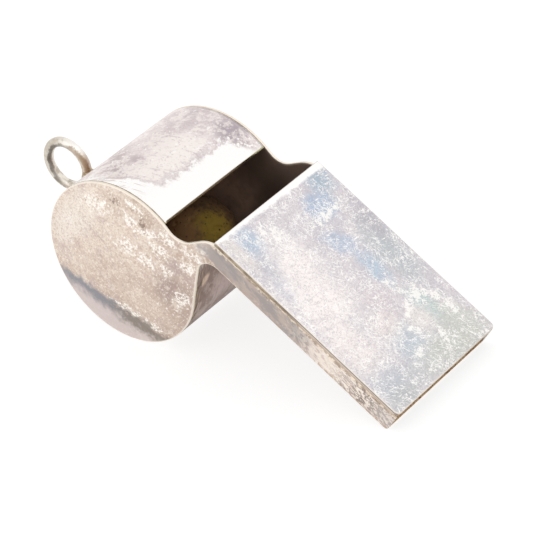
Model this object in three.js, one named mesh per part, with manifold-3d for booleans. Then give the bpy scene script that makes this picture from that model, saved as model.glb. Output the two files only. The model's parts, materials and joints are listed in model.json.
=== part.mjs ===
// A soldered sheet-metal pea whistle. Millimetres, +Z up, resting on a table on its barrel and its mouth end.
// Profiles are drawn in the whistle's own plane: x along the flat roof towards the mouth, z square to it,
// with the barrel's axis at the origin. The last lines lay the whistle down and put it on its origin.
import * as THREE from "three";
import { mergeVertices } from "three/addons/utils/BufferGeometryUtils.js";
import Module from "manifold-3d";

const wasm = await Module();
wasm.setup();

// Body sizes
const barrelRadius = 10;
const bodyWidth = 18.25;
const cheekSheet = 0.32;
const bandSheet = 0.45;
const roofSheet = 0.5;
const solderFilm = 0.1;
const domeRise = 0.9;
const domeRim = 0.6;

// Window and lip
const lipAngle = THREE.MathUtils.degToRad(78.6);
const windowGap = 5.82;
const notchFillet = 2.4;
const notchRamp = THREE.MathUtils.degToRad(56);
const notchBrow = 3.5;
const notchCrest = THREE.MathUtils.degToRad(24);

// Mouthpiece and neck
const roofRise = 3.76;
const mouthpieceLength = 26.43;
const mouthpieceDepth = 3.15;
const neckBend = 1.9;
const neckSetback = 0.4;
const mouthRound = 0.4;
const roofCorner = 0.6;
const roofOverhang = 0.03;

// Lanyard ring on the back of the barrel
const ringRadius = 2.83;
const ringWire = 1.15;
const ringAngle = THREE.MathUtils.degToRad(200.3);
const ringStandoff = 1.75;
const beadFoot = 1.5;
const beadNeck = 0.85;
const beadGap = 0.06;

// Pea
const peaDiameter = 10;
const peaClearance = 0.3;

// Levels that follow from the sizes
const lipX = barrelRadius * Math.cos(lipAngle);
const windowEdge = lipX + windowGap;
const mouthEnd = windowEdge + mouthpieceLength;
const roofTop = barrelRadius + roofRise;
const roofUnder = roofTop - roofSheet;
const cheekTop = roofUnder - solderFilm;
const floorUnder = roofTop - mouthpieceDepth;
const cheekFace = bodyWidth / 2;
const chamberHalf = cheekFace - cheekSheet;
const bandHalf = chamberHalf - solderFilm;

// Finish of each material
const silver = new THREE.MeshStandardMaterial({ color: 0xc8bfb8, metalness: 1, roughness: 0.34 });
const solder = new THREE.MeshStandardMaterial({ color: 0xb08e58, metalness: 1, roughness: 0.5 });
const cork = new THREE.MeshStandardMaterial({ color: 0xa5813c, metalness: 0, roughness: 0.95 });

const arcStep = THREE.MathUtils.degToRad(6);

// Points of an arc about a centre from angle a0 to angle a1, both ends included
function arc(cx, cz, radius, a0, a1) {
  const count = Math.max(2, Math.ceil(Math.abs(a1 - a0) / arcStep));
  return Array.from({ length: count + 1 }, (_, i) => {
    const a = a0 + ((a1 - a0) * i) / count;
    return new THREE.Vector2(cx + radius * Math.cos(a), cz + radius * Math.sin(a));
  });
}

// A flat outline given a thickness across the whistle, from y0 to y1
function plate(points, y0, y1) {
  const shape = new THREE.Shape(points);
  const geometry = new THREE.ExtrudeGeometry(shape, { depth: y1 - y0, bevelEnabled: false });
  geometry.rotateX(Math.PI / 2);
  geometry.translate(0, y1, 0);
  return geometry;
}

function solid(geometry) {
  const bare = geometry.clone();
  bare.deleteAttribute("normal");
  bare.deleteAttribute("uv");
  const merged = mergeVertices(bare, 1e-4);
  const vertProperties = merged.attributes.position.array;
  const triVerts = new Uint32Array(merged.index.array);
  return new wasm.Manifold(new wasm.Mesh({ numProp: 3, vertProperties, triVerts }));
}

function surface(made) {
  const mesh = made.getMesh();
  const geometry = new THREE.BufferGeometry();
  geometry.setAttribute("position", new THREE.BufferAttribute(mesh.vertProperties, 3));
  geometry.setIndex(new THREE.BufferAttribute(mesh.triVerts, 1));
  return geometry;
}

const whistle = new THREE.Group();

function add(name, geometry, material) {
  const mesh = new THREE.Mesh(geometry, material);
  mesh.name = name;
  whistle.add(mesh);
  return mesh;
}

// Neck: the band leaves the barrel on a straight that also touches the bend under the mouthpiece floor
const bendX = barrelRadius - neckSetback;
const bendZ = floorUnder - neckBend;
const bendAway = Math.hypot(bendX, bendZ);
const neckAngle = Math.atan2(bendZ, bendX) - Math.acos((barrelRadius + neckBend) / bendAway);
const neckTurn = neckAngle + 2 * Math.PI;

// The outside line of the body from the lip, round the barrel and the neck, to the mouth,
// moved inwards by a given sheet thickness
function bodyLine(inset) {
  return [
    ...arc(0, 0, barrelRadius - inset, lipAngle, neckTurn),
    ...arc(bendX, bendZ, neckBend + inset, neckAngle + Math.PI, Math.PI / 2),
  ];
}
const edgeRound = Math.min(mouthRound, 0.9 * bandSheet);
const mouthLine = arc(mouthEnd - edgeRound, floorUnder + edgeRound, edgeRound, -Math.PI / 2, 0);

// Barrel band: one strip from the lip round the chamber, back through the neck and on as mouthpiece floor
const bandOutline = [
  ...bodyLine(0),
  ...mouthLine,
  new THREE.Vector2(mouthEnd, floorUnder + bandSheet),
  ...bodyLine(bandSheet).reverse(),
];
add("barrel_band", plate(bandOutline, -bandHalf, bandHalf), silver);

// Cheek outline: the same line, closed over the mouthpiece side and the notch beside the window
const browX = windowEdge + notchBrow * Math.sin(notchCrest);
const browZ = cheekTop - notchBrow * Math.cos(notchCrest);
const brow = arc(browX, browZ, notchBrow, notchCrest + Math.PI / 2, notchRamp + Math.PI / 2);
const rampAlong = new THREE.Vector2(Math.cos(notchRamp), Math.sin(notchRamp));
const rampAcross = new THREE.Vector2(-rampAlong.y, rampAlong.x);
const raised = brow[brow.length - 1].clone().addScaledVector(rampAcross, notchFillet);
const notchReach = barrelRadius + notchFillet;
const half = raised.dot(rampAlong);
const slide = -half + Math.sqrt(half * half - raised.lengthSq() + notchReach * notchReach);
const notch = raised.clone().addScaledVector(rampAlong, slide);
const notchFrom = Math.atan2(-rampAcross.y, -rampAcross.x);
const notchTo = notch.angle() - Math.PI;
const cheekOutline = [
  ...bodyLine(0),
  ...mouthLine,
  new THREE.Vector2(mouthEnd, cheekTop),
  ...brow,
  ...arc(notch.x, notch.y, notchFillet, notchFrom, notchTo),
];

// Cheek: a flat plate with its disc pressed out into a shallow dome of the same sheet
const domeRadius = barrelRadius - domeRim;
const domeLip = domeRim / 3;
function domeLine(level) {
  return Array.from({ length: 7 }, (_, i) => {
    const share = Math.sqrt(i / 6);
    return new THREE.Vector2(domeRadius * share, level - domeRise * (1 - share ** 3));
  });
}
const domeProfile = [
  ...domeLine(-cheekFace),
  new THREE.Vector2(domeRadius + domeLip, -cheekFace),
  new THREE.Vector2(domeRadius + domeLip, -chamberHalf),
  ...domeLine(-chamberHalf).reverse(),
];
const dome = solid(new THREE.LatheGeometry(domeProfile, 54));
const disc = new THREE.CylinderGeometry(domeRadius, domeRadius, 4 * cheekSheet, 54);
disc.translate(0, -cheekFace, 0);
const flat = solid(plate(cheekOutline, -cheekFace, -chamberHalf));
const cheek = surface(flat.subtract(solid(disc)).add(dome));
add("left_cheek", cheek, silver);
add("right_cheek", cheek, silver).scale.set(1, -1, 1);

// Solder between each cheek and the edge of the band
const seam = plate(bandOutline, -chamberHalf, -bandHalf);
add("cheek_solder_left", seam, solder);
add("cheek_solder_right", seam, solder).scale.set(1, -1, 1);

// Roof: a flat plate over both cheeks, its mouth corners rounded
const roofFront = mouthEnd + roofOverhang;
const roofSide = cheekFace + roofOverhang;
const roofShape = new THREE.Shape([
  new THREE.Vector2(windowEdge, -roofSide),
  ...arc(roofFront - roofCorner, -roofSide + roofCorner, roofCorner, -Math.PI / 2, 0),
  ...arc(roofFront - roofCorner, roofSide - roofCorner, roofCorner, 0, Math.PI / 2),
  new THREE.Vector2(windowEdge, roofSide),
]);
const roof = new THREE.ExtrudeGeometry(roofShape, { depth: roofSheet, bevelEnabled: false });
roof.translate(0, 0, roofUnder);
add("mouthpiece_roof", roof, silver);

// Solder under each long edge of the roof
const roofSeam = new THREE.BoxGeometry(mouthEnd - windowEdge, cheekSheet, solderFilm);
roofSeam.translate((windowEdge + mouthEnd) / 2, -cheekFace + cheekSheet / 2, roofUnder - solderFilm / 2);
add("roof_solder_left", roofSeam, solder);
add("roof_solder_right", roofSeam, solder).scale.set(1, -1, 1);

// Lanyard ring: a wire ring standing in the middle plane on the back of the barrel
const ringAway = barrelRadius + ringStandoff + ringWire / 2 + ringRadius;
const ringX = ringAway * Math.cos(ringAngle);
const ringZ = ringAway * Math.sin(ringAngle);
function ringTorus(wire) {
  const torus = new THREE.TorusGeometry(ringRadius, wire / 2, 12, 40);
  torus.rotateX(Math.PI / 2);
  torus.translate(ringX, 0, ringZ);
  return torus;
}
add("lanyard_ring", ringTorus(ringWire), silver);

// Solder bead that carries the ring: a flared foot on the barrel that wraps the wire
const beadTop = barrelRadius + ringStandoff + 0.6 * ringWire;
const beadRoot = barrelRadius - bandSheet;
const beadProfile = [new THREE.Vector2(0, beadRoot)];
for (let i = 0; i <= 6; i++) {
  const share = i / 6;
  const waist = beadNeck + (beadFoot - beadNeck) * (1 - share) ** 2;
  beadProfile.push(new THREE.Vector2(waist, beadRoot + share * (beadTop - beadRoot)));
}
beadProfile.push(new THREE.Vector2(0, beadTop));
const beadBlank = new THREE.LatheGeometry(beadProfile, 28);
beadBlank.rotateZ(-Math.PI / 2);
beadBlank.rotateY(-ringAngle);
const barrel = new THREE.CylinderGeometry(barrelRadius + beadGap, barrelRadius + beadGap, bodyWidth, 120);
const bead = solid(beadBlank).subtract(solid(barrel)).subtract(solid(ringTorus(ringWire + 2 * beadGap)));
add("ring_solder", surface(bead), solder);

// The whistle lies on the lowest line of the barrel and the lower edge of the mouth
const edgeX = mouthEnd - edgeRound;
const edgeZ = floorUnder + edgeRound;
const edgeAway = Math.hypot(edgeX, edgeZ);
const restTilt = Math.atan2(edgeZ, edgeX) + Math.asin((barrelRadius - edgeRound) / edgeAway);

// Pea: a cork ball lying at the bottom of the chamber, against the right cheek
const peaRadius = peaDiameter / 2;
const peaOrbit = barrelRadius - bandSheet - peaRadius - peaClearance;
const pea = new THREE.SphereGeometry(peaRadius, 26, 16);
const peaSide = chamberHalf - peaRadius - peaClearance;
pea.translate(peaOrbit * Math.sin(restTilt), peaSide, -peaOrbit * Math.cos(restTilt));
add("cork_pea", pea, cork);

// Lay it down and put the middle of its footprint on the origin
const backX = ringX * Math.cos(restTilt) + ringZ * Math.sin(restTilt) - ringRadius - ringWire / 2;
const frontX = roofFront * Math.cos(restTilt) + roofTop * Math.sin(restTilt);
whistle.rotation.y = restTilt;
whistle.position.set(-(backX + frontX) / 2, 0, barrelRadius);

const part = new THREE.Group();
part.add(whistle);
export default part;
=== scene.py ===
# A soldered sheet-metal pea whistle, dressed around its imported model.
# Shapes are drawn in millimetres in the whistle's own plane: x along the flat roof towards the mouth,
# y across from the left cheek to the right one, z square to the roof, with the barrel's axis at zero.
import json
import math

import bmesh
import bpy
import numpy as np
from mathutils import Matrix, Vector
from mathutils.geometry import delaunay_2d_cdt


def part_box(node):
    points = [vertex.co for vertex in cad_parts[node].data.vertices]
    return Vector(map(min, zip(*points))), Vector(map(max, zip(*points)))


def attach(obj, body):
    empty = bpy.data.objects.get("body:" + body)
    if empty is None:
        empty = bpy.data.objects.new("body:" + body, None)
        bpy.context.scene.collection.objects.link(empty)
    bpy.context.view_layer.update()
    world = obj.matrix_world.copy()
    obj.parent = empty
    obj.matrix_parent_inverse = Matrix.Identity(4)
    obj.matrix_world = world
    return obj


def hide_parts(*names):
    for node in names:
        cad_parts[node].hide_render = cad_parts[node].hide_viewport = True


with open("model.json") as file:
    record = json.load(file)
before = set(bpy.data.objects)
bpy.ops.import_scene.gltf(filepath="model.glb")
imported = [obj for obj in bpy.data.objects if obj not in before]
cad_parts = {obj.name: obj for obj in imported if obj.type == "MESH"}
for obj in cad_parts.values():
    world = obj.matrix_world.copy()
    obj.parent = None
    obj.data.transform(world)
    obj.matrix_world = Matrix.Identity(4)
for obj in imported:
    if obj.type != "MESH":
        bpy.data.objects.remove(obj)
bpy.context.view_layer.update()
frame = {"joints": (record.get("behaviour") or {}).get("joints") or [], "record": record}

# Studio
# A plain pale table under soft daylight, in metres, with the camera where the picture was taken from.
# The white surroundings show to the camera and in the metal; the table keeps the whistle's shadow.
bpy.context.scene.view_settings.view_transform = "Standard"
view_from = Vector((0.174108, -0.196437, 0.178115))
view_along = Vector((-0.54828, 0.63253, -0.54708)).normalized()
view_right = view_along.cross(Vector((-0.26187, 0.49142, 0.83062))).normalized()
view_up = view_right.cross(view_along)
lens = bpy.data.cameras.new("photo_camera")
lens.sensor_width = 36
lens.lens = 192.829
lens.clip_start = 0.01
camera = bpy.data.objects.new("photo_camera", lens)
bpy.context.collection.objects.link(camera)
camera.matrix_world = Matrix.Translation(view_from) @ Matrix(
    (view_right, view_up, -view_along)).transposed().to_4x4()
bpy.context.scene.camera = camera


def lamp(name, place, size, power, tint):
    """A square lamp that faces the whistle."""
    light = bpy.data.lights.new(name, "AREA")
    light.size = size
    light.energy = power
    light.color = tint
    holder = bpy.data.objects.new(name, light)
    holder.location = place
    holder.rotation_euler = (-Vector(place)).to_track_quat("-Z", "Y").to_euler()
    bpy.context.collection.objects.link(holder)


lamp("window_light", (0.42, -0.05, 0.55), size=0.9, power=0.6, tint=(1, 0.985, 0.96))
lamp("fill_light", (-0.3, -0.55, 0.35), size=0.8, power=0.5, tint=(0.97, 0.98, 1))


class Gauge:
    """A value at one socket of a node tree. Arithmetic on it adds Math nodes to that tree."""

    def __init__(self, tree, socket=None):
        self.tree = tree
        self.socket = socket

    def node(self, kind, settings=None, sockets=None, out=0):
        made = self.tree.nodes.new(kind)
        for name, value in (settings or {}).items():
            if name == "items":
                for item_kind, item in value:
                    made.capture_items.new(item_kind, item)
            else:
                setattr(made, name, value)
        for name, value in (sockets or {}).items():
            entry = made.inputs[name] if isinstance(name, int) else next(
                s for s in made.inputs if s.name == name and s.enabled)
            if isinstance(value, Gauge):
                self.tree.links.new(value.socket, entry)
            elif entry.type == "RGBA":
                entry.default_value = (*value, 1)
            else:
                entry.default_value = value
        if made.outputs:
            return Gauge(self.tree, made.outputs[0]).out(out)

    def out(self, name):
        sockets = self.socket.node.outputs
        found = sockets[name] if isinstance(name, int) else next(
            s for s in sockets if s.name == name and s.enabled)
        return Gauge(self.tree, found)

    def maths(self, operation, *values):
        return self.node("ShaderNodeMath", {"operation": operation}, dict(enumerate(values)))

    def vector(self, operation, sockets, out=0):
        return self.node("ShaderNodeVectorMath", {"operation": operation}, sockets, out)

    def __add__(self, other):
        return self.maths("ADD", self, other)

    def __radd__(self, other):
        return self.maths("ADD", other, self)

    def __sub__(self, other):
        return self.maths("SUBTRACT", self, other)

    def __rsub__(self, other):
        return self.maths("SUBTRACT", other, self)

    def __mul__(self, other):
        return self.maths("MULTIPLY", self, other)

    def __rmul__(self, other):
        return self.maths("MULTIPLY", other, self)

    def __truediv__(self, other):
        return self.maths("DIVIDE", self, other)

    def __rtruediv__(self, other):
        return self.maths("DIVIDE", other, self)

    def rising(self, low, high):
        """0 below the low value, 1 above the high one, and a smooth ramp between them."""
        return self.node("ShaderNodeMapRange", {"interpolation_type": "SMOOTHSTEP"}, {
            "Value": self, "From Min": low, "From Max": high})


def seen(tree):
    """1 for light on its way to the eye, straight or by way of metal or glass."""
    straight = Gauge(tree).node("ShaderNodeLightPath", out="Is Camera Ray")
    mirrored = straight.maths("MAXIMUM", straight, straight.out("Is Glossy Ray"))
    return straight.maths("MAXIMUM", mirrored, straight.out("Is Transmission Ray"))


room_level = 0.75
world = bpy.data.worlds.new("daylight")
bpy.context.scene.world = world
world.use_nodes = True
backdrop = world.node_tree.nodes["Background"]
backdrop.inputs["Color"].default_value = (1, 1, 1, 1)
world.node_tree.links.new((room_level + (1 - room_level) * seen(world.node_tree)).socket,
                          backdrop.inputs["Strength"])

reach = 3
table_glow = 0.8
table_grey = 0.28
table_mesh = bpy.data.meshes.new("table")
table_mesh.from_pydata(
    [(-reach, -reach, 0), (reach, -reach, 0), (reach, reach, 0), (-reach, reach, 0)], [], [(0, 1, 2, 3)])
table = bpy.data.objects.new("table", table_mesh)
bpy.context.collection.objects.link(table)
table_white = bpy.data.materials.new("table_white")
table_white.use_nodes = True
table_mesh.materials.append(table_white)
paint = table_white.node_tree.nodes["Principled BSDF"]
paint.inputs["Base Color"].default_value = (table_grey, table_grey, table_grey, 1)
paint.inputs["Roughness"].default_value = 0.9
paint.inputs["Emission Color"].default_value = (1, 1, 1, 1)
table_white.node_tree.links.new((table_glow * seen(table_white.node_tree)).socket,
                                paint.inputs["Emission Strength"])

# Barrel band
# One strip of silver-plated brass, 0.45 mm thick, rolled into the barrel from the lip at the window,
# bent back at the neck and run on as the floor of the mouthpiece.
barrel_radius = 10
body_width = 18.25
cheek_sheet = 0.32
band_sheet = 0.45
solder_film = 0.1
lip_angle = math.radians(78.6)
window_gap = 5.82
roof_rise = 3.76
mouthpiece_length = 26.43
mouthpiece_depth = 3.15
neck_bend = 1.9
neck_setback = 0.4
mouth_round = 0.4
cheek_face = body_width / 2
chamber_half = cheek_face - cheek_sheet
band_half = chamber_half - solder_film
window_edge = barrel_radius * math.cos(lip_angle) + window_gap
mouth_end = window_edge + mouthpiece_length
roof_top = barrel_radius + roof_rise
floor_under = roof_top - mouthpiece_depth
bend_x = barrel_radius - neck_setback
bend_z = floor_under - neck_bend
bend_away = math.hypot(bend_x, bend_z)
neck_angle = math.atan2(bend_z, bend_x) - math.acos((barrel_radius + neck_bend) / bend_away)

barrel_axis = Vector(frame["joints"][0]["pos_m"])
roof_up = next(m["axis"] for m in frame["record"]["mounts"] if m["name"] == "roof_face")
rest_tilt = math.atan2(roof_up[0], roof_up[2])
lay_down = Matrix.Translation(barrel_axis) @ Matrix.Rotation(rest_tilt, 4, "Y") @ Matrix.Scale(0.001, 4)


def arc(cx, cz, radius, a0, a1, step=0.3):
    """Points along part of a circle, from one angle to another."""
    count = max(3, math.ceil(abs(a1 - a0) * radius / step))
    turns = np.linspace(a0, a1, count + 1)
    return np.stack([cx + radius * np.cos(turns), cz + radius * np.sin(turns)], 1)


def even(line, step=0.3):
    """The same line with points no further apart than the step."""
    out = [line[0]]
    for a, b in zip(line[:-1], line[1:]):
        count = max(1, math.ceil(np.linalg.norm(b - a) / step))
        out += [a + (b - a) * k / count for k in range(1, count + 1)]
    return np.array(out)


def body_line(inset):
    """The line of the body from the lip round the barrel and the neck, moved inwards by a sheet."""
    barrel = arc(0, 0, barrel_radius - inset, lip_angle, neck_angle + 2 * math.pi)
    neck = arc(bend_x, bend_z, neck_bend + inset, neck_angle + math.pi, math.pi / 2, step=0.15)
    return np.concatenate([barrel, neck])


def path_of(line, y=0, closed=False):
    """A line of points and links at one place across the whistle, for a tree to work on."""
    mesh = bpy.data.meshes.new("path")
    links = [(i, i + 1) for i in range(len(line) - 1)]
    if closed:
        links.append((len(line) - 1, 0))
    mesh.from_pydata([(x, y, z) for x, z in line], links, [])
    return mesh


def new_tree(name, entries):
    tree = bpy.data.node_groups.new(name, "GeometryNodeTree")
    tree.interface.new_socket(name="Path", in_out="INPUT", socket_type="NodeSocketGeometry")
    for label, kind in entries.items():
        tree.interface.new_socket(name=label, in_out="INPUT", socket_type="NodeSocket" + kind)
    tree.interface.new_socket(name="Piece", in_out="OUTPUT", socket_type="NodeSocketGeometry")
    given = tree.nodes.new("NodeGroupInput")
    return tree, Gauge(tree, given.outputs[0])


def end_tree(shape, given):
    smooth = shape.node("GeometryNodeSetShadeSmooth", {}, {0: shape})
    whole = shape.node("GeometryNodeRealizeInstances", {}, {0: smooth})
    dressed = shape.node("GeometryNodeSetMaterial", {}, {0: whole, "Material": given.out("Material")})
    shape.node("NodeGroupOutput", {}, {0: dressed})


def made_by(tree, name, path, values, finish, bevel=0):
    """Runs a tree on a path and returns its result as a plain mesh object, its mouth edge rounded."""
    worker = bpy.data.objects.new(name + "_path", path)
    bpy.context.collection.objects.link(worker)
    step = worker.modifiers.new("made", "NODES")
    step.node_group = tree
    for item in tree.interface.items_tree:
        if item.in_out == "INPUT" and item.name in values:
            step[item.identifier] = values[item.name]
        if item.name == "Material":
            step[item.identifier] = finish
    if bevel:
        rounding = worker.modifiers.new("rounding", "BEVEL")
        rounding.width = bevel
        rounding.segments = 3
        rounding.limit_method = "ANGLE"
        rounding.angle_limit = math.radians(50)
    graph = bpy.context.evaluated_depsgraph_get()
    mesh = bpy.data.meshes.new_from_object(worker.evaluated_get(graph))
    bpy.data.objects.remove(worker)
    for point in mesh.vertices:
        ahead = min(point.co.x - mouth_end, 0) + mouth_round
        if ahead > 0:
            worn = floor_under + mouth_round - math.sqrt(mouth_round**2 - ahead**2)
            point.co.z = max(point.co.z, worn)
    return placed(name, mesh)


def placed(name, mesh):
    """Turns the faces outwards, lays the mesh down with the whistle and gives it an object."""
    shell = bmesh.new()
    shell.from_mesh(mesh)
    bmesh.ops.recalc_face_normals(shell, faces=shell.faces)
    shell.to_mesh(mesh)
    shell.free()
    mesh.transform(lay_down)
    mesh.name = name
    piece = bpy.data.objects.new(name, mesh)
    bpy.context.collection.objects.link(piece)
    return piece


def fixed(piece, body, node):
    """Ties a piece to its body and hides the solid it stands for."""
    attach(piece, body)
    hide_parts(node)


strip_tree, given = new_tree("strip_along_path", {
    "Width": "Float", "Sheet": "Float", "Step": "Float", "Dents": "Float", "Dent size": "Float",
    "Ragged": "Float", "Seed": "Float", "Material": "Material"})
spot = given.node("GeometryNodeInputPosition")
tangent = given.node("GeometryNodeInputTangent")
line = given.node("GeometryNodeCaptureAttribute", {
    "items": (("FLOAT", "along"), ("VECTOR", "outward"), ("VECTOR", "centre"))}, {
    0: given.node("GeometryNodeMeshToCurve", {}, {0: given}),
    "along": given.node("GeometryNodeSplineParameter", {}, {}, "Length"),
    "outward": given.vector("CROSS_PRODUCT", {0: (0, 1, 0), 1: tangent}),
    "centre": spot})
half = 0.5 * given.out("Width")
cross = given.node("GeometryNodeCurvePrimitiveLine", {}, {
    "Start": given.node("ShaderNodeCombineXYZ", {}, {"X": 0 - half}),
    "End": given.node("ShaderNodeCombineXYZ", {}, {"X": half})})
cross = given.node("GeometryNodeResampleCurve", {"mode": "LENGTH"}, {
    "Curve": cross, "Length": given.out("Step")})
cross = given.node("GeometryNodeCaptureAttribute", {"items": (("FLOAT", "across"),)}, {
    0: cross, "across": given.node("ShaderNodeSeparateXYZ", {}, {0: spot}, "X")})
ribbon = given.node("GeometryNodeCurveToMesh", {}, {0: line, 1: cross})
wave = given.node("ShaderNodeTexNoise", {"noise_dimensions": "4D"}, {
    "Vector": line.out("centre"), "W": given.out("Seed"), "Scale": 1 / given.out("Dent size"), "Detail": 1})
ragged = 1 + given.out("Ragged") * (wave - 0.5)
sideways = given.node("ShaderNodeCombineXYZ", {}, {"Y": cross.out("across") * ragged})
flat = given.vector("ADD", {0: line.out("centre"), 1: sideways})
dimple = given.node("ShaderNodeTexNoise", {"noise_dimensions": "4D"}, {
    "Vector": flat, "W": given.out("Seed") + 7, "Scale": 1 / given.out("Dent size"), "Detail": 1})
dented = given.vector("SCALE", {0: line.out("outward"), "Scale": given.out("Dents") * (dimple - 0.5)})
ribbon = given.node("GeometryNodeSetPosition", {}, {
    0: ribbon, "Position": given.vector("ADD", {0: flat, 1: dented})})
for label, value in (("along", line.out("along")), ("across", cross.out("across"))):
    ribbon = given.node("GeometryNodeStoreNamedAttribute", {"data_type": "FLOAT", "domain": "POINT"}, {
        0: ribbon, "Name": label, "Value": value})
wall = given.node("GeometryNodeExtrudeMesh", {"mode": "FACES"}, {
    0: ribbon, "Offset Scale": 0, "Individual": False})
inward = given.vector("SCALE", {0: line.out("outward"), "Scale": 0 - given.out("Sheet")})
inner = given.node("GeometryNodeSetPosition", {}, {0: wall, "Selection": wall.out("Top"), "Offset": inward})
inner = given.node("GeometryNodeStoreNamedAttribute", {"data_type": "FLOAT", "domain": "POINT"}, {
    0: inner, "Name": "inside", "Value": wall.out("Top")})
both = given.node("GeometryNodeJoinGeometry", {}, {0: inner})
strip_tree.links.new(ribbon.socket, both.socket.node.inputs[0])
shell = given.node("GeometryNodeMergeByDistance", {}, {0: both, "Distance": 0.0005})
end_tree(shell, given)


def ink(*levels):
    """A colour as it looks on a screen, red, green and blue to 255, given to the shader as light."""
    shares = [level / 255 for level in levels]
    return tuple(s / 12.92 if s <= 0.04045 else ((s + 0.055) / 1.055) ** 2.4 for s in shares)


def new_finish(name):
    """A metal finish and its coordinates, in millimetres in the whistle's own plane."""
    material = bpy.data.materials.new(name)
    material.use_nodes = True
    where = Gauge(material.node_tree).node("ShaderNodeTexCoord", out="Object")
    own = where.node("ShaderNodeMapping", {"vector_type": "TEXTURE"}, {
        "Vector": where, "Location": barrel_axis, "Rotation": (0, rest_tilt, 0), "Scale": (0.001,) * 3})
    return material, own


def grain(own, size, seed, detail=3.0, rough=0.55, twist=0.0):
    """Cloudy noise from 0 to 1 with lumps of about the given size in millimetres."""
    return own.node("ShaderNodeTexNoise", {"noise_dimensions": "4D"}, {
        "Vector": own, "W": seed, "Scale": 1 / size,
        "Detail": detail, "Roughness": rough, "Distortion": twist})


def turned(own, angles, lengths):
    """Coordinates turned and drawn out, for streaks and scratches."""
    return own.node("ShaderNodeMapping", {"vector_type": "TEXTURE"}, {
        "Vector": own, "Rotation": angles, "Scale": lengths})


def over(tone, colour, mask):
    """A colour laid over a tone as far as the mask says."""
    return mask.node("ShaderNodeMix", {"data_type": "RGBA"}, {
        "Factor": mask, "A": tone, "B": colour}, "Result")


def flat_spot(u, v):
    """Two measures on a surface as one place for stains and streaks."""
    return u.node("ShaderNodeCombineXYZ", {}, {"X": u, "Y": v})


def stain(spot, at, radii, turn, ragged, soft):
    """An oval patch on the surface: 1 inside, 0 outside, with a ragged or soft border."""
    oval = spot.node("ShaderNodeMapping", {"vector_type": "TEXTURE"}, {
        "Vector": spot, "Location": (*at, 0), "Rotation": (0, 0, math.radians(turn)), "Scale": (*radii, 1)})
    away = spot.vector("LENGTH", {0: oval}, "Value")
    return 1 - (away + ragged).rising(1 - soft, 1 + soft)


def patches(tone, spot, ragged, rows):
    """Lays patches over a tone. Each row: place, radii, turn in degrees, softness, colour, strength."""
    for at, radii, turn, soft, colour, strength in rows:
        tone = over(tone, ink(*colour), strength * stain(spot, at, radii, turn, ragged, soft))
    return tone


def anywhere(spot, ragged, rows):
    """1 inside any of the oval places. Each row: place, radii, turn in degrees."""
    found = ragged * 0
    for at, radii, turn in rows:
        found = found.maths("MAXIMUM", found, stain(spot, at, radii, turn, ragged, 0.6))
    return found


def rubbed(own, size, seed, level):
    """Flakes of all sizes where the tarnish is rubbed away; a higher level leaves fewer of them."""
    return (grain(own, size, seed, 9, 0.74) - level).rising(-0.035, 0.035)


def hairlines(own, size, seed, width):
    """Fine curved scratches: the level lines of a twisted noise."""
    level = grain(own, size, seed, 3, 0.6, 1.6) - 0.5
    return 1 - level.maths("ABSOLUTE", level).rising(width * 0.3, width)


def metal(material, tone, rough, height, depth, metallic=1.0):
    """Joins colour, roughness and surface height to the finish's shader."""
    tree = material.node_tree
    shader = tree.nodes["Principled BSDF"]
    bump = height.node("ShaderNodeBump", {}, {"Strength": 1.0, "Distance": depth * 0.001, "Height": height})
    joined = {"Base Color": tone, "Roughness": rough, "Normal": bump, "Metallic": metallic}
    for label, value in joined.items():
        if isinstance(value, Gauge):
            tree.links.new(value.socket, shader.inputs[label])
        else:
            shader.inputs[label].default_value = value


def attribute(own, name):
    """A measure that the mesh carries at its points."""
    return own.node("ShaderNodeAttribute", {"attribute_name": name}, {}, "Fac")


def sooty(tone, blotch, inside, pale, dark):
    """The chamber's side of a sheet, brown with soot in two shades."""
    return over(tone, over(ink(*pale), ink(*dark), blotch.rising(0.45, 0.62)), inside)


band_finish, own = new_finish("rolled_band_plate")
along = attribute(own, "along")
across = attribute(own, "across")
inside = attribute(own, "inside")
spot = flat_spot(along, across)
x = own.node("ShaderNodeSeparateXYZ", {}, {0: own}, "X")
cloud = grain(own, 3.6, 1.0)
blotch = grain(own, 1.4, 2.0, 6, 0.62)
mouthward = (x + blotch).rising(mouth_end - 0.7, mouth_end - 0.1)
inside = inside * (1 - mouthward)
fleck = grain(own, 0.55, 3.0, 6, 0.68)
dust = grain(own, 0.24, 4.0, 3)
drawn = grain(turned(spot, (0, 0, math.radians(-20)), (2.4, 0.5, 1)), 1, 5.0, 4, 0.6)
ragged = 1.5 * (blotch - 0.5) + 0.9 * (fleck - 0.5)
tarnish = over(ink(232, 221, 218), ink(217, 205, 204), cloud.rising(0.42, 0.62))
tarnish = patches(tarnish, spot, ragged, (
    ((7.2, 6.6), (3.8, 3.6), 0, 0.5, (214, 202, 203), 0.85),
    ((3.8, 6.9), (2.0, 1.7), 10, 0.6, (176, 165, 171), 0.9),
    ((9.2, -6.2), (2.2, 1.3), 20, 0.7, (190, 175, 177), 0.85),
    ((8.4, -3.4), (1.5, 0.8), 0, 0.7, (190, 175, 178), 0.8),
    ((24, -3), (4, 5), 0, 0.6, (206, 192, 184), 0.8),
    ((33, 4), (5, 4), 0, 0.6, (196, 184, 182), 0.8),
    ((6.9, 2.0), (1.5, 1.4), 0, 0.6, (240, 230, 226), 0.75)))
clear = stain(spot, (5.6, -0.8), (2.2, 5.2), 0, ragged, 0.7)
swept = stain(spot, (12.6, -3.0), (4.6, 1.4), 48, ragged, 0.7)
tarnish = over(tarnish, ink(250, 242, 238), 0.9 * clear)
tarnish = over(tarnish, ink(192, 177, 176), 0.85 * swept)
plate = rubbed(own, 2.2, 6.0, 0.5 - 0.05 * clear + 0.05 * swept + 0.03 * across.rising(1, 5))
tone = over(tarnish, ink(246, 238, 233), 0.75 * plate)
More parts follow.
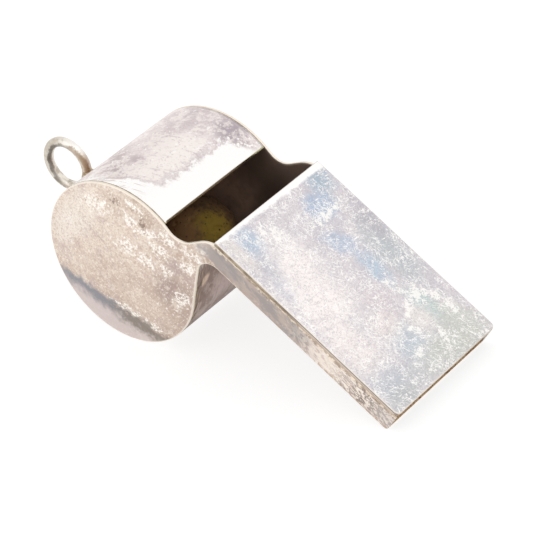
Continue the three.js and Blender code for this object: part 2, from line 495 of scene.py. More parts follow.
tone = over(tone, ink(198, 184, 186), 0.5 * drawn.rising(0.54, 0.66))
tone = over(tone, ink(252, 250, 247), (0 - across + ragged).rising(7.2, 8.6))
tone = over(tone, ink(182, 166, 170), 0.45 * dust.rising(0.54, 0.68))
tone = over(tone, ink(253, 251, 248), fleck.rising(0.6, 0.64))
border = 3.3 - 0.04 * across - 2.9 * across.rising(4.6, 8.0) + 5.6 * (0 - across).rising(5.0, 8.6)
past = along + 0.5 * ragged - border + 7 * (grain(own, 0.8, 7.0, 9, 0.8) - 0.5) * along.rising(0.6, 2.4)
line = past.rising(-0.4, 0.1) * (1 - past.rising(0.2, 1.0)) * (1 - across.rising(3, 6))
tone = over(tone, ink(172, 156, 163), 0.5 * line)
# The clean band by the lip, painted near white: bare polished plate, and partly a painted highlight where
# the band faces the light.
polish_and_highlight = 1 - past.rising(-0.5, 0.6)
torn = (1 - past.rising(0.6, 2.6)) * across.rising(0, 3)
polish_and_highlight = polish_and_highlight.maths("MAXIMUM", polish_and_highlight, rubbed(own, 0.6, 9.0, 0.62 - 0.08 * torn))
tone = over(tone, ink(255, 253, 251), polish_and_highlight)
rim_streak = drawn.rising(0.5, 0.6) * (0 - across).rising(6.2, 7.4) * along.rising(3.5, 6)
tone = over(tone, ink(214, 198, 192), 0.8 * rim_streak)
# Under the neck the band is painted darker as painted shade in the crevice, with dark and pale streaks
# there as painted reflections.
crevice = (along + 1.5 * ragged).rising(43, 45.5) * (1 - along.rising(57, 60))
sunk = over(ink(148, 128, 119), ink(176, 158, 151), rubbed(own, 2.4, 8.0, 0.51))
sunk = patches(sunk, spot, ragged, (
    ((52.0, -3.4), (1.5, 2.4), 0, 0.6, (194, 175, 171), 0.85),
    ((55.2, -7.4), (0.8, 0.5), 30, 0.4, (218, 194, 174), 0.9),
    ((56.6, -5.6), (0.9, 1.6), 0, 0.6, (140, 122, 114), 0.8)))
reflected_streak = grain(turned(spot, (0, 0, math.radians(8)), (1.5, 0.16, 1)), 1, 10.0, 4, 0.6)
near_cheek = (0 - across).rising(6.9, 8.2)
sunk = over(sunk, ink(104, 86, 64), 0.85 * near_cheek * reflected_streak.rising(0.5, 0.57))
sunk = over(sunk, ink(198, 178, 148), 0.7 * near_cheek * (1 - reflected_streak.rising(0.38, 0.45)))
sunk = over(sunk, ink(118, 99, 92), 0.45 * reflected_streak.rising(0.54, 0.62))
tone = over(tone, sunk, crevice)
under = along.rising(58, 60)
tone = over(tone, over(ink(204, 188, 174), ink(176, 150, 122), blotch.rising(0.48, 0.6)), under)
tone = sooty(tone, blotch, inside, (216, 192, 176), (198, 172, 156))
tone = over(tone, ink(214, 205, 166), 1 - along.rising(0.08, 0.26))
tone = over(tone, over(ink(236, 208, 170), ink(168, 126, 88), fleck.rising(0.5, 0.58)), mouthward)
rough = 0.4 - 0.18 * polish_and_highlight + 0.12 * crevice + 0.25 * inside + 0.15 * (dust - 0.5)
metal(band_finish, tone, rough, 0.6 * fleck + 0.4 * dust, 0.02, 1 - 0.8 * inside)

round_turn = np.linspace(0, math.pi / 2, 7)
floor_end = np.stack([
    mouth_end - mouth_round * (1 - np.sin(round_turn)), np.full_like(round_turn, floor_under)], 1)
lip_line = np.concatenate([body_line(0), floor_end])
band = made_by(strip_tree, "band_sheet", path_of(even(lip_line)), {
    "Width": 2 * band_half, "Sheet": band_sheet, "Step": 0.3, "Dents": 0.08, "Dent size": 4.0, "Seed": 2.0},
    band_finish, bevel=0.05)
fixed(band, "whistle", "barrel_band")

# Cheeks
# Two plates of the same silver-plated sheet, stamped in one piece: the disc of the barrel, pressed out
# into a shallow dome, the neck and the side of the mouthpiece. They close the band on both sides.
dome_rise = 0.9
dome_radius = barrel_radius - 0.6
neck_bearing = 0.8
neck_spread = 0.55
cheek_rounding = 0.1
notch_fillet = 2.4
notch_ramp = math.radians(56)
notch_brow = 3.5
notch_crest = math.radians(24)
roof_sheet = 0.5
cheek_top = roof_top - roof_sheet - solder_film
brow = arc(window_edge + notch_brow * math.sin(notch_crest), cheek_top - notch_brow * math.cos(notch_crest),
           notch_brow, notch_crest + math.pi / 2, notch_ramp + math.pi / 2, step=0.15)
ramp_along = np.array([math.cos(notch_ramp), math.sin(notch_ramp)])
ramp_across = np.array([-ramp_along[1], ramp_along[0]])
raised = brow[-1] + notch_fillet * ramp_across
lean = raised @ ramp_along
slide = -lean + math.sqrt(lean**2 - raised @ raised + (barrel_radius + notch_fillet) ** 2)
notch = raised + slide * ramp_along
notch_from = math.atan2(-ramp_across[1], -ramp_across[0])
notch_to = math.atan2(notch[1], notch[0]) - math.pi
mouth_corner = arc(
    mouth_end - mouth_round, floor_under + mouth_round, mouth_round, -math.pi / 2, 0, step=0.1)
cheek_line = even(np.concatenate([
    body_line(0), mouth_corner, [[mouth_end, cheek_top]], brow,
    arc(*notch, notch_fillet, notch_from, notch_to, step=0.15)]))


def set_in(line, distance):
    """A closed line, drawn anticlockwise, moved inwards by a distance."""
    ahead = np.roll(line, -1, 0) - line
    ahead /= np.linalg.norm(ahead, axis=1, keepdims=True)
    left = np.stack([-ahead[:, 1], ahead[:, 0]], 1)
    mean = left + np.roll(left, 1, 0)
    sharpest = 1.2
    return line + distance * mean * 2 / np.maximum((mean * mean).sum(1, keepdims=True), sharpest)


def ring_faces(rings, count):
    """Faces of four corners between rings of points that follow each other."""
    return [(k * count + i, k * count + (i + 1) % count,
             (k + 1) * count + (i + 1) % count, (k + 1) * count + i)
            for k in range(rings - 1) for i in range(count)]


def pressed_plate(name, line, sheet, rounding, form, finish, step=0.34):
    """A plate of sheet with rounded edges. Its outline runs anticlockwise; a form places its faces."""
    rim = 0.33
    burr = 0.03
    row_gap = step * 0.866
    gap = np.linalg.norm(np.roll(line, -1, 0) - line, axis=1)
    line = line[gap > 1e-4]
    count = len(line)
    quarter = np.linspace(0, math.pi / 2, 5)
    rings = [(rim, sheet), (burr, sheet), (0, sheet - burr)]
    rings += [(rounding * (1 - math.cos(q)), rounding * (1 - math.sin(q))) for q in quarter]
    rings += [(rim * 2 / 3, 0), (rim, 0)]
    flat = [set_in(line, inset) for inset, _ in rings]
    deep = [np.full(count, depth) for _, depth in rings]
    edge = [np.full(count, inset) for inset, _ in rings]
    faces = ring_faces(len(rings), count)
    low, high = line.min(0), line.max(0)
    xs, zs = np.meshgrid(np.arange(low[0], high[0], step), np.arange(low[1], high[1], row_gap))
    xs[1::2] += step / 2
    grid = np.stack([xs.ravel(), zs.ravel()], 1)
    crossings = np.zeros(len(grid), int)
    away = np.full(len(grid), 1e9)
    for p, q in zip(line, np.roll(line, -1, 0)):
        share = np.clip(((grid - p) @ (q - p)) / ((q - p) @ (q - p)), 0, 1)
        away = np.minimum(away, np.linalg.norm(grid - p - share[:, None] * (q - p), axis=1))
        if p[1] != q[1]:
            straddle = (p[1] > grid[:, 1]) != (q[1] > grid[:, 1])
            reached = (q[0] - p[0]) * (grid[:, 1] - p[1]) / (q[1] - p[1]) + p[0]
            crossings += straddle & (grid[:, 0] < reached)
    keep = (crossings % 2 == 1) & (away > rim + step * 0.6)
    grid, away = grid[keep], away[keep]
    for ring, depth in ((0, sheet), (len(rings) - 1, 0)):
        first = sum(len(f) for f in flat)
        border = flat[ring]
        points = [Vector(p) for p in np.concatenate([border, grid])]
        links = [(i, (i + 1) % count) for i in range(count)]
        _, _, cells, origin, _, _ = delaunay_2d_cdt(points, links, [], 1, 1e-6)
        label = [ring * count + o[0] if o[0] < count else first + o[0] - count for o in origin]
        faces += [tuple(label[i] for i in cell) for cell in cells]
        flat.append(grid)
        deep.append(np.full(len(grid), depth))
        edge.append(away)
    flat, deep, edge = np.concatenate(flat), np.concatenate(deep), np.concatenate(edge)
    mesh = bpy.data.meshes.new(name)
    mesh.from_pydata(form(flat[:, 0], flat[:, 1], deep).tolist(), [], faces)
    mesh.attributes.new("edge", "FLOAT", "POINT").data.foreach_set("value", edge)
    hidden = ((deep > sheet * 0.9) & (edge > 0.3)).astype(float)
    mesh.attributes.new("inside", "FLOAT", "POINT").data.foreach_set("value", hidden)
    mesh.polygons.foreach_set("use_smooth", [True] * len(mesh.polygons))
    mesh.materials.append(finish)
    return placed(name, mesh)


def dome(x, z):
    """How far the disc is pressed out; the press runs out softly where the neck leaves the barrel."""
    away = np.hypot(x, z)
    share = np.minimum(away / dome_radius, 1)
    wide = np.minimum(away / (barrel_radius + 1), 1)
    to_neck = np.exp(-((np.arctan2(z, x) - neck_bearing) / neck_spread) ** 2)
    return dome_rise * ((1 - to_neck) * (1 - share**3) + to_neck * (1 - wide**2.6) ** 1.5)


def left_form(x, z, depth):
    return np.stack([x, -(cheek_face + dome(x, z) - depth), z], 1)


def right_form(x, z, depth):
    return np.stack([x, cheek_face + dome(x, z) - depth, z], 1)


def cheek_plate(name, seed, rows, flaked, pitted, with_reflection_band):
    """A tarnished cheek with flaked white places and pitted brown ones, with painted shading across its
    dome and, where asked, a painted dark reflection band near its lower rim.
    """
    finish, own = new_finish(name)
    inside = attribute(own, "inside")
    edge = attribute(own, "edge")
    place = own.node("ShaderNodeSeparateXYZ", {}, {0: own})
    x, z = place.out("X"), place.out("Z")
    spot = flat_spot(x, z)
    cloud = grain(own, 4.0, seed)
    blotch = grain(own, 1.4, seed + 1, 6, 0.62)
    fleck = grain(own, 0.6, seed + 2, 6, 0.68)
    dust = grain(own, 0.23, seed + 3, 4, 0.72)
    ragged = 1.4 * (blotch - 0.5) + 0.9 * (fleck - 0.5)
    # worn: painted shading of the dome, lighter towards the upper left and darker towards the lower right,
    # with random cloudy tone mixed in.
    worn = 0.1 * x - 0.06 * z + 1.8 * (cloud - 0.5)
    tarnish = over(ink(232, 216, 202), ink(219, 200, 185), worn.rising(-0.5, 0.1))
    tarnish = over(tarnish, ink(191, 170, 158), worn.rising(0.0, 0.8))
    tarnish = over(tarnish, ink(208, 188, 182), 0.6 * blotch.rising(0.5, 0.62))
    tarnish = patches(tarnish, spot, ragged, rows)
    zone = anywhere(spot, 1.5 * ragged, flaked)
    pits = anywhere(spot, ragged, pitted)
    tone = over(tarnish, ink(240, 228, 215), 0.5 * rubbed(own, 1.5, seed + 6, 0.53 + 0.04 * worn))
    tone = over(tone, ink(184, 162, 150), 0.5 * dust.rising(0.5, 0.62))
    tone = over(tone, ink(252, 245, 236), 0.6 * (1 - dust.rising(0.36, 0.45)))
    tone = over(tone, ink(199, 180, 168), 0.35 * hairlines(own, 3.0, seed + 7, 0.02))
    tone = over(tone, ink(144, 122, 112), 0.85 * rubbed(own, 0.5, seed + 12, 0.68 - 0.18 * pits))
    tone = over(tone, ink(243, 231, 218), 0.45 * zone * rubbed(own, 0.9, seed + 11, 0.47))
    tone = over(tone, ink(253, 246, 237), 0.9 * rubbed(own, 0.5, seed + 10, 0.6 - 0.06 * zone))
    speck = grain(own, 0.3, seed + 15, 3, 0.62)
    tone = over(tone, ink(174, 148, 134), 0.6 * zone * (1 - speck.rising(0.36, 0.44)))
    tone = over(tone, ink(255, 250, 243), 0.95 * (speck - 0.68 + 0.15 * zone).rising(-0.03, 0.03))
    # A painted dark reflection band near the lower rim, along a ragged line, with paler painted shading
    # below it towards the rim.
    torn = (3.6 + 2.2 * x.rising(0, 5)) * (grain(own, 0.9, seed + 8, 7, 0.7) - 0.5)
    depth = -5.4 + x * (0.28 - 0.013 * x) - z + torn + 0.5 * ragged
    tone = over(tone, ink(219, 206, 203), 0.85 * with_reflection_band * depth.rising(-0.2, 2.2))
    reflection_band_core = depth.rising(-0.7, 0.7) * (1 - depth.rising(0.6, 2.8)) * (0.5 + 0.5 * x.rising(-7.5, -4))
    tone = over(tone, over(ink(146, 146, 152), ink(144, 135, 126), x.rising(0, 5)), 0.95 * with_reflection_band * reflection_band_core)
    long = turned(own, (0, 0.2, 0), (1.9, 1, 0.8))
    scratch = grain(turned(own, (0, 0.12, 0), (1.1, 1, 0.2)), 1, seed + 5, 4, 0.6, 0.6)
    mouthward = (x + 2 * ragged).rising(21.5, 25)
    # The flat side of the mouthpiece: its grey, greyer towards the neck, is partly tarnish and partly
    # painted reflection.
    side = over(ink(170, 161, 158), ink(191, 176, 167), rubbed(long, 1.6, seed + 4, 0.5))
    side = over(side, ink(162, 156, 156), 0.55 * (1 - (x + 2 * ragged).rising(9, 13)))
    side = over(side, ink(225, 208, 198), mouthward)
    lit = rubbed(long, 0.9, seed + 9, 0.57 - 0.11 * mouthward + 0.08 * x.rising(27, 32))
    side = over(side, ink(247, 236, 226), (0.3 + 0.6 * mouthward) * lit)
    side = over(side, ink(120, 104, 97), 0.85 * x.rising(21, 31) * scratch.rising(0.57, 0.62))
    side = over(side, ink(246, 235, 225), 0.8 * x.rising(17, 26) * hairlines(long, 0.9, seed + 13, 0.1))
    side = over(side, ink(108, 91, 82), 0.85 * x.rising(23, 32) * hairlines(long, 0.8, seed + 14, 0.07))
    side = over(side, ink(214, 206, 201), 0.5 * x.rising(30, 33))
    low = 1 - (z - floor_under + 1.4 * ragged).rising(0.0, 0.4)
    side = over(side, over(ink(188, 162, 140), ink(242, 226, 210), fleck.rising(0.5, 0.56)), 0.7 * low)
    high = (z - cheek_top + 0.9 * ragged).rising(-0.4, -0.15)
    side = over(side, over(ink(160, 140, 120), ink(242, 226, 206), fleck.rising(0.48, 0.54)), 0.75 * high)
    tone = over(tone, side, (x + 1.2 * ragged).rising(6, 8.5) * z.rising(9.4, 10.6))
    # Pale along the rounded edges of the disc and neck: painted edge highlight.
    tone = over(tone, ink(246, 237, 224), 0.85 * (1 - edge.rising(0.05, 0.2)) * (1 - x.rising(11, 14)))
    tone = sooty(tone, blotch, inside, (216, 188, 170), (198, 171, 153))
    # Inside the chamber: painted shade, darker higher up and further towards the mouthpiece.
    tone = over(tone, ink(116, 98, 88), 0.9 * inside * z.rising(-1, 5))
    tone = over(tone, ink(100, 84, 74), 0.85 * inside * x.rising(3, 6))
    rough = 0.44 + 0.25 * inside + 0.2 * (dust - 0.5)
    metal(finish, tone, rough, 0.6 * fleck + 0.4 * dust, 0.02, 1 - 0.8 * inside)
    return finish


left_finish = cheek_plate("left_cheek_plate", 11.0, (
    ((5.5, 6.4), (1.3, 1.1), 0, 0.6, (186, 168, 164), 0.8),
    ((7.4, 11.3), (1.2, 0.8), 20, 0.5, (172, 168, 172), 0.85),
    ((6.5, 3.2), (2.0, 1.7), 0, 0.6, (178, 158, 151), 0.9),
    ((-1.1, 9.0), (2.2, 0.9), -8, 0.6, (206, 186, 168), 0.85),
    ((5.7, 8.7), (1.5, 1.3), 0, 0.6, (202, 180, 164), 0.85),
    ((2.8, 6.6), (1.6, 1.2), 0, 0.6, (206, 185, 170), 0.7),
    ((-3.4, 7.0), (2.6, 1.2), 10, 0.7, (210, 192, 176), 0.75),
    ((2.8, 8.5), (3.0, 1.0), 0, 0.7, (192, 170, 156), 0.8),
    ((-1.8, 8.6), (1.8, 0.8), 0, 0.7, (202, 182, 166), 0.7),
    ((4.8, -1.4), (4.0, 1.9), 0, 0.7, (228, 211, 196), 0.8),
    ((-7.6, -1.5), (1.6, 2.8), 0, 0.6, (246, 236, 227), 0.7),
    ((-6.7, 2.4), (2.0, 2.8), 0, 0.6, (248, 240, 231), 0.6)), (
    ((-1.4, 7.0), (1.6, 0.7), -10), ((1.3, 7.6), (1.5, 0.6), 39), ((0.1, 3.9), (1.5, 1.0), 15),
    ((2.5, 4.3), (1.5, 1.0), 0), ((4.9, 4.9), (1.1, 0.8), 0), ((8.0, 2.9), (0.9, 1.4), 0),
    ((6.6, -3.8), (2.0, 0.6), 17), ((-5.8, 5.0), (2.2, 1.1), 20), ((7.4, 10.0), (1.5, 1.1), 30),
    ((6.6, 7.6), (1.3, 1.1), 0), ((3.4, -4.2), (2.4, 0.5), 12), ((3.2, 8.6), (1.6, 0.7), 0),
    ((2.9, 6.7), (1.3, 0.7), 0), ((-1.6, 8.6), (1.3, 0.6), 0), ((5.8, 9.2), (1.4, 0.7), 0)), (
    ((-4.1, 7.4), (1.0, 0.6), 15), ((0.0, 7.9), (1.0, 0.5), -35), ((0.9, 7.2), (0.6, 0.4), 0)), 1)
right_finish = cheek_plate("right_cheek_plate", 61.0, (
    ((-3.5, -5.0), (2.4, 1.2), 25, 0.6, (172, 158, 154), 0.8),
    ((3.8, 2.2), (1.8, 1.2), 0, 0.6, (190, 172, 166), 0.8),
    ((7.6, 11.0), (1.4, 0.9), -20, 0.6, (178, 170, 170), 0.8)), (
    ((2.4, -3.0), (3.2, 0.6), 40), ((-5.4, 2.0), (0.9, 2.8), 15), ((4.0, 6.0), (2.4, 0.5), -35),
    ((8.4, 1.0), (0.5, 2.6), 0), ((-2.0, -6.0), (1.8, 0.5), 10), ((0.5, 2.5), (1.2, 0.5), 60)), (
    ((-2.0, 6.2), (1.6, 0.7), -15), ((1.5, -7.0), (1.2, 0.6), 10)), 0)
left = pressed_plate(
    "left_cheek_sheet", cheek_line, cheek_sheet, cheek_rounding, left_form, left_finish)
fixed(left, "whistle", "left_cheek")
right = pressed_plate(
    "right_cheek_sheet", cheek_line, cheek_sheet, cheek_rounding, right_form, right_finish)
fixed(right, "whistle", "right_cheek")

# Cheek solder
# Runs of yellow hard solder between the edges of the band and the two cheeks, filed down flush
# and shrunk a little below the sheet, so each shows as a thin dark line round the barrel.
solder_finish, own = new_finish("filed_solder")
lump = grain(own, 0.6, 21.0, 4)
tone = over(ink(206, 190, 166), ink(160, 140, 112), lump.rising(0.4, 0.65))
mouthward = own.node("ShaderNodeSeparateXYZ", {}, {0: own}, "X").rising(17, 22)
tone = over(tone, ink(218, 202, 188), 0.7 * mouthward)
metal(solder_finish, tone, 0.45 + 0.2 * lump, lump, 0.02)
seam_sunk = 0.01
seam_short = 0.03
seam_line = even(np.concatenate([body_line(seam_sunk), floor_end[:-1] + [0, seam_sunk]]))
for label, side in (("left", -1), ("right", 1)):
    seam_path = path_of(seam_line, side * (band_half + solder_film / 2))
    seam = made_by(strip_tree, "cheek_solder_run_" + label, seam_path, {
        "Width": solder_film, "Sheet": band_sheet - seam_short, "Step": 0.05, "Dents": 0.02,
        "Dent size": 0.8, "Seed": 5.0 + side}, solder_finish)
    fixed(seam, "whistle", "cheek_solder_" + label)

# Cork pea
# A ball of cork 10 mm across, dropped loose into the chamber before the roof closes it. Its skin is
# turned and sanded, with the cork's own pits left open.
pea_radius = 5.0
ball_tree, given = new_tree("cork_ball", {
    "Radius": "Float", "Pits": "Float", "Pit size": "Float", "Seed": "Float", "Material": "Material"})
blank = given.node("GeometryNodeMeshIcoSphere", {}, {"Radius": given.out("Radius"), "Subdivisions": 6})
spot = given.node("GeometryNodeInputPosition")
pit = given.node("ShaderNodeTexNoise", {"noise_dimensions": "4D"}, {
    "Vector": spot, "W": given.out("Seed"), "Scale": 1 / given.out("Pit size"), "Detail": 3})
sunk = 0 - given.out("Pits") * pit.rising(0.56, 0.72)
normal = given.node("GeometryNodeInputNormal")
pitted = given.node("GeometryNodeSetPosition", {}, {
    0: blank, "Offset": given.vector("SCALE", {0: normal, "Scale": sunk})})
points = given.node("GeometryNodeMeshToPoints", {}, {0: given})
put = given.node("GeometryNodeInstanceOnPoints", {}, {"Points": points, "Instance": pitted})
end_tree(put, given)
cork_finish, own = new_finish("bare_cork")
lump = grain(own, 0.9, 31.0, 4)
pore = grain(own, 0.3, 32.0, 3)
# The lighter brown patch and the olive-yellow patch are painted light, where light through the window falls
# on the pea.
away = own.vector("DISTANCE", {0: own, 1: (3.5, 2.8, 1.2)}, "Value")
tone = over(ink(136, 105, 74), ink(112, 86, 60), lump.rising(0.45, 0.65))
to_painted_light = own.vector("DISTANCE", {0: own, 1: (1.4, 0.4, 0.4)}, "Value")
tone = over(tone, ink(184, 142, 96), 0.9 * (1 - (to_painted_light + 3 * (lump - 0.5)).rising(1.2, 3.0)))
tone = over(tone, ink(182, 154, 64), 1 - (away + 4 * (lump - 0.5) + 3 * (pore - 0.5)).rising(1.0, 3.0))
tone = over(tone, ink(66, 50, 34), pore.rising(0.6, 0.68))
metal(cork_finish, tone, 0.85 + 0.1 * lump, lump, 0.05, 0.0)
pea_low, pea_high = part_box("cork_pea")
pea_spot = lay_down.inverted() @ ((pea_low + pea_high) / 2)
pea_mesh = bpy.data.meshes.new("pea_spot")
pea_mesh.from_pydata([pea_spot], [], [])
pea = made_by(ball_tree, "pea", pea_mesh, {
    "Radius": pea_radius, "Pits": 0.3, "Pit size": 1.1, "Seed": 4.0}, cork_finish)
fixed(pea, "pea", "cork_pea")

# Mouthpiece roof
# A flat plate 0.5 mm thick laid over both cheeks from the window to the mouth. Its edges are worn
# round and its mouth corners are cut back.
roof_corner = 0.6
roof_rounding = 0.08
roof_lap = 0.03
roof_front = mouth_end + roof_lap
roof_side = cheek_face + roof_lap
roof_line = even(np.concatenate([
    [[window_edge, -roof_side]],
    arc(roof_front - roof_corner, -roof_side + roof_corner, roof_corner, -math.pi / 2, 0, step=0.1),
    arc(roof_front - roof_corner, roof_side - roof_corner, roof_corner, 0, math.pi / 2, step=0.1),
    [[window_edge, roof_side], [window_edge, -roof_side + 0.3]]]))


def roof_form(x, y, depth):
    """Lays the plate level, with its outer face a little uneven."""
    sag = 0.03 * np.sin(x * 0.31 + 0.4) * np.cos(y * 0.27) - 0.02
    return np.stack([x, y, roof_top + sag * (depth < 0.2) - depth], 1)


roof_finish, own = new_finish("roof_plate")
inside = attribute(own, "inside")
edge = attribute(own, "edge")
place = own.node("ShaderNodeSeparateXYZ", {}, {0: own})
x, y = place.out("X"), place.out("Y")
spot = flat_spot(x, y)
cloud = grain(own, 3.6, 41.0)
blotch = grain(own, 1.3, 42.0, 6, 0.64)
fleck = grain(own, 0.5, 43.0, 6, 0.7)
dust = grain(own, 0.2, 44.0, 4, 0.72)
ragged = 1.5 * (blotch - 0.5) + 1.1 * (fleck - 0.5)
tarnish = over(ink(221, 214, 217), ink(210, 206, 211), cloud.rising(0.42, 0.62))
tarnish = patches(tarnish, spot, ragged, (
    ((9.6, 7.2), (1.9, 1.6), 0, 0.6, (172, 190, 204), 0.9),
    ((11.8, 4.6), (1.8, 1.8), 0, 0.6, (178, 195, 216), 0.9),
    ((16.6, 2.8), (2.0, 1.2), 35, 0.6, (190, 202, 220), 0.9),
    ((20.6, 3.6), (2.4, 1.2), 0, 0.6, (188, 204, 219), 0.88),
    ((10.3, -5.9), (1.9, 1.3), 0, 0.6, (186, 202, 218), 0.95),
    ((14.2, -6.3), (1.9, 1.1), -15, 0.6, (184, 187, 198), 0.85),
    ((16.8, -7.4), (1.6, 0.8), 0, 0.6, (194, 199, 213), 0.8),
    ((20.8, 6.8), (4.2, 1.9), 0, 0.7, (190, 197, 200), 0.85),
    ((16.4, 8.2), (2.6, 1.4), 0, 0.7, (190, 187, 193), 0.85),
    ((27.4, 4.6), (2.6, 1.2), 10, 0.6, (190, 208, 206), 0.9),
    ((31.0, 6.2), (2.8, 1.8), 0, 0.7, (210, 213, 203), 0.8),
    ((31.6, -6.6), (2.4, 2.0), 0, 0.7, (193, 199, 206), 0.85),
    ((29.3, -0.7), (2.4, 2.0), 0, 0.7, (194, 206, 214), 0.85),
    ((32.2, 0.5), (1.8, 5.5), 0, 0.7, (203, 206, 208), 0.8),
    ((24.5, 0.4), (2.2, 1.6), 0, 0.7, (222, 211, 213), 0.75),
    ((26.2, -1.4), (2.0, 1.8), 0, 0.7, (240, 230, 226), 0.8),
    ((28.2, 2.6), (1.5, 1.8), 0, 0.7, (238, 232, 227), 0.8),
    ((26.0, -6.8), (3.2, 2.0), 0, 0.7, (244, 235, 231), 0.85),
    ((10.2, -8.1), (2.6, 0.9), 0, 0.7, (234, 227, 222), 0.8),
    ((32.8, 3.6), (2.2, 4.8), 0, 0.7, (207, 208, 197), 0.75),
    ((33.4, -6.6), (1.3, 2.6), 0, 0.7, (194, 196, 195), 0.75)))
zone = anywhere(spot, ragged, (
    ((26.4, 5.9), (3.0, 0.7), 38), ((29.4, 7.0), (1.6, 0.5), 0), ((29.1, 1.2), (1.5, 0.5), 30),
    ((11.2, -2.8), (2.2, 1.2), 20), ((31.0, -0.6), (0.6, 1.1), 0), ((13.0, 4.4), (0.8, 2.6), 0),
    ((26.5, 2.4), (0.6, 1.6), 30), ((24.0, 3.4), (1.8, 0.6), 20), ((25.8, 4.4), (1.7, 0.9), 10),
    ((31.6, 3.0), (1.6, 0.5), -30)))
pale = zone.maths("MAXIMUM", stain(spot, (15.4, -3.8), (3.6, 2.5), 0, ragged, 0.8),
                  stain(spot, (19.6, -4.8), (5.0, 3.3), -8, ragged, 0.8))
tone = over(tarnish, ink(251, 243, 240), 0.95 * pale)
tone = over(tone, ink(168, 164, 170), (0.26 - 0.08 * pale) * dust.rising(0.52, 0.64))
tone = over(tone, ink(252, 249, 247), 0.28 * (1 - dust.rising(0.36, 0.46)))
curls = hairlines(own, 0.9, 49.0, 0.04) * grain(own, 1.1, 50.0, 4, 0.6).rising(0.46, 0.56)
tone = over(tone, ink(255, 252, 250), 0.9 * curls)
tone = over(tone, ink(180, 174, 180), 0.45 * hairlines(own, 0.8, 53.0, 0.035))
flakes = rubbed(own, 0.45, 52.0, 0.61 - 0.12 * zone)
tone = over(tone, ink(254, 251, 247), 0.9 * flakes)
for turn, seed in ((50, 45.0), (-35, 46.0), (15, 47.0), (80, 54.0)):
    stroke = grain(turned(spot, (0, 0, math.radians(turn)), (0.9, 0.13, 1)), 1, seed, 2, 0.5, 0.8)
    group = grain(own, 2.0, seed + 10, 3).rising(0.48, 0.6)
    tone = over(tone, ink(255, 253, 250), 0.95 * group * stroke.rising(0.6, 0.65))
# A bright strip along the roof's edge at the window, painted near white: worn plate, and partly a painted
# highlight on its rounded edge.
strip = 1 - (x - 0.03 * y + 0.7 * ragged).rising(window_edge + 0.5, window_edge + 0.9)
tone = over(tone, ink(254, 252, 250), strip)
drop = roof_top - place.out("Z")
flank = drop.rising(0.1, 0.16) * x.rising(window_edge + 0.05, window_edge + 0.2)
brown = over(ink(188, 171, 150), ink(150, 132, 114), blotch.rising(0.45, 0.6))
brown = over(brown, ink(112, 98, 88), 0.8 * (x + 3 * ragged).rising(14, 19))
brown = over(brown, ink(224, 208, 194), (x + 4 * ragged).rising(17, 22) * drop.rising(0.2, 0.3))
mouth_brown = over(ink(226, 198, 160), ink(118, 92, 72), fleck.rising(0.5, 0.58))
brown = over(brown, mouth_brown, x.rising(mouth_end - 0.1, mouth_end))
# Pale along the roof's edges: painted edge highlight. A thin grey line runs along the far edge.
tone = over(tone, ink(232, 226, 218), (fleck + 0.3) * (1 - edge.rising(0.03, 0.14)))
tone = over(tone, ink(178, 170, 162), 0.65 * (1 - edge.rising(0.0, 0.1)) * y.rising(0, 4))
tone = over(tone, brown, flank)
tone = sooty(tone, blotch, inside, (176, 150, 134), (150, 127, 112))
rough = 0.42 - 0.12 * flakes + 0.25 * inside + 0.2 * (dust - 0.5)
metal(roof_finish, tone, rough, 0.6 * fleck + 0.4 * dust, 0.02, 1 - 0.8 * inside)
roof = pressed_plate("roof_sheet", roof_line, roof_sheet, roof_rounding, roof_form, roof_finish)
fixed(roof, "whistle", "mouthpiece_roof")

# Roof solder
# Hard solder under both long edges of the roof, squeezed out a little past the cheeks. It shows as
# the golden line along the mouthpiece, paler towards the mouth.
roof_under = roof_top - roof_sheet
run_inset = 0.1
run_bulge = 0.06
run = even(np.array([[window_edge + run_inset, roof_under], [mouth_end - run_inset, roof_under]]), 0.15)
for label, side in (("left", -1), ("right", 1)):
    seam_path = path_of(run, side * (cheek_face - cheek_sheet / 2))
    seam = made_by(strip_tree, "roof_solder_run_" + label, seam_path, {
        "Width": cheek_sheet + run_bulge, "Sheet": -solder_film, "Step": 0.1, "Dents": 0.0,
        "Dent size": 0.9, "Ragged": 0.4, "Seed": 8.0 + side}, solder_finish)
    fixed(seam, "whistle", "roof_solder_" + label)

# Lanyard ring
# A closed ring of 1.15 mm silver-plated wire, standing in the middle plane on the back of the barrel.
ring_radius = 2.83
ring_wire = 1.15
ring_angle = math.radians(200.3)
ring_standoff = 1.75
ring_away = barrel_radius + ring_standoff + ring_wire / 2 + ring_radius
wire_tree, given = new_tree("wire_along_path", {
    "Wire": "Float", "Wear": "Float", "Wear size": "Float", "Seed": "Float", "Material": "Material"})
line = given.node("GeometryNodeMeshToCurve", {}, {0: given})
section = given.node("GeometryNodeCurvePrimitiveCircle", {}, {
    "Resolution": 28, "Radius": 0.5 * given.out("Wire")})
wire = given.node("GeometryNodeCurveToMesh", {}, {0: line, 1: section})
spot = given.node("GeometryNodeInputPosition")
worn = given.node("ShaderNodeTexNoise", {"noise_dimensions": "4D"}, {
    "Vector": spot, "W": given.out("Seed"), "Scale": 1 / given.out("Wear size"), "Detail": 2})
normal = given.node("GeometryNodeInputNormal")
wire = given.node("GeometryNodeSetPosition", {}, {
    0: wire, "Offset": given.vector("SCALE", {0: normal, "Scale": given.out("Wear") * (worn - 0.5)})})
end_tree(wire, given)
ring_finish, own = new_finish("ring_wire_plate")
ring_x, ring_z = ring_away * math.cos(ring_angle), ring_away * math.sin(ring_angle)
lump = grain(own, 0.9, 51.0, 6, 0.65)
place = own.node("ShaderNodeSeparateXYZ", {}, {0: own})
x, y, z = place.out("X") - ring_x, place.out("Y"), place.out("Z") - ring_z
outward = (x * math.cos(ring_angle) + z * math.sin(ring_angle)) / ring_radius
away = flat_spot(x, z).vector("LENGTH", {0: flat_spot(x, z)}, "Value")
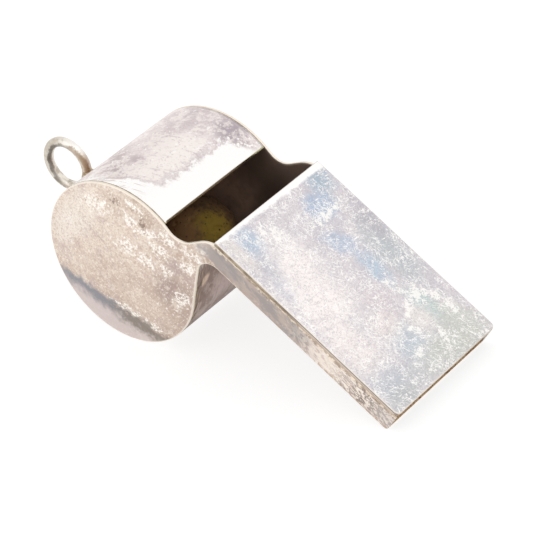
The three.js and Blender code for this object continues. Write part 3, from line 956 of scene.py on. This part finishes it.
round_wire = away.maths("ARCTAN2", ring_radius - away, 0 - y)
aside = round_wire - 0.1 - 0.9 * outward + 1.7 * (lump - 0.5)
aloft = outward.maths("ABSOLUTE", outward)
reflection_stripe = 1 - aside.maths("ABSOLUTE", aside).rising(0.22, 0.7)
tone = over(ink(236, 229, 219), ink(188, 178, 164), 0.8 * lump.rising(0.48, 0.6))
# Round the wire: a painted highlight along its lit side and a dark stripe winding round it as painted
# reflection, darker on the ring's outer side and browner on its inner side. The brown near the foot is heat
# colour from the solder.
tone = over(tone, ink(200, 191, 176), 0.6 * outward.rising(0, 0.7) * (0 - aside).rising(0.3, 0.8))
tone = over(tone, ink(252, 250, 246), 0.8 * (0 - aside).rising(0.4, 0.8) * (0 - outward).rising(-0.5, 0.5))
tone = over(tone, ink(196, 172, 148), 0.6 * (0 - outward + 0.6 * (lump - 0.5)).rising(0.5, 0.95))
shade = over(ink(158, 132, 106), ink(86, 78, 72), outward.rising(-0.4, 0.4))
tone = over(tone, shade, (0.45 + 0.4 * aloft) * reflection_stripe)
metal(ring_finish, tone, 0.3 + 0.2 * lump, lump, 0.01)
ring_line = arc(ring_x, ring_z, ring_radius, 0, 2 * math.pi, step=0.15)
ring = made_by(wire_tree, "ring_wire", path_of(ring_line[:-1], 0, True), {
    "Wire": ring_wire, "Wear": 0.06, "Wear size": 1.5, "Seed": 6.0}, ring_finish)
fixed(ring, "whistle", "lanyard_ring")

# Ring solder
# A bead of hard solder that flows from the barrel up round the wire and carries the ring.
bead_foot = 1.5
bead_neck = 0.85
bead_high = ring_standoff + 0.6 * ring_wire
bead_sunk = 0.04
cap_share = [1.06, 1.1]
cap_girth = [0.6, 0.02]
rows, columns = 18, 48
share = np.concatenate([np.linspace(0, 1, rows), cap_share])
girth = np.concatenate([bead_neck + (bead_foot - bead_neck) * (1 - share[:rows]) ** 2.4, cap_girth])
turns = np.linspace(0, 2 * math.pi, columns, endpoint=False)
lobes = 1 + 0.05 * np.sin(3 * turns + 1) + 0.04 * np.sin(5 * turns)
p = girth[:, None] * (np.cos(turns) * lobes)
q = girth[:, None] * (np.sin(turns) * lobes)
root = np.sqrt(barrel_radius**2 - p**2) - bead_sunk
rise = root + (barrel_radius - root) * np.minimum(share, 1)[:, None] + share[:, None] * bead_high
out_x, out_z = math.cos(ring_angle), math.sin(ring_angle)
bead_points = np.stack([rise * out_x - p * out_z, q, rise * out_z + p * out_x], 2).reshape(-1, 3)
bead_faces = ring_faces(len(share), columns)
bead_faces += [tuple(range(columns)), tuple(range((len(share) - 1) * columns, len(share) * columns))]
bead_mesh = bpy.data.meshes.new("solder_bead")
bead_mesh.from_pydata(bead_points.tolist(), [], bead_faces)
bead_mesh.polygons.foreach_set("use_smooth", [True] * len(bead_faces))
bead_mesh.materials.append(solder_finish)
bead = placed("ring_solder_bead", bead_mesh)
fixed(bead, "whistle", "ring_solder")
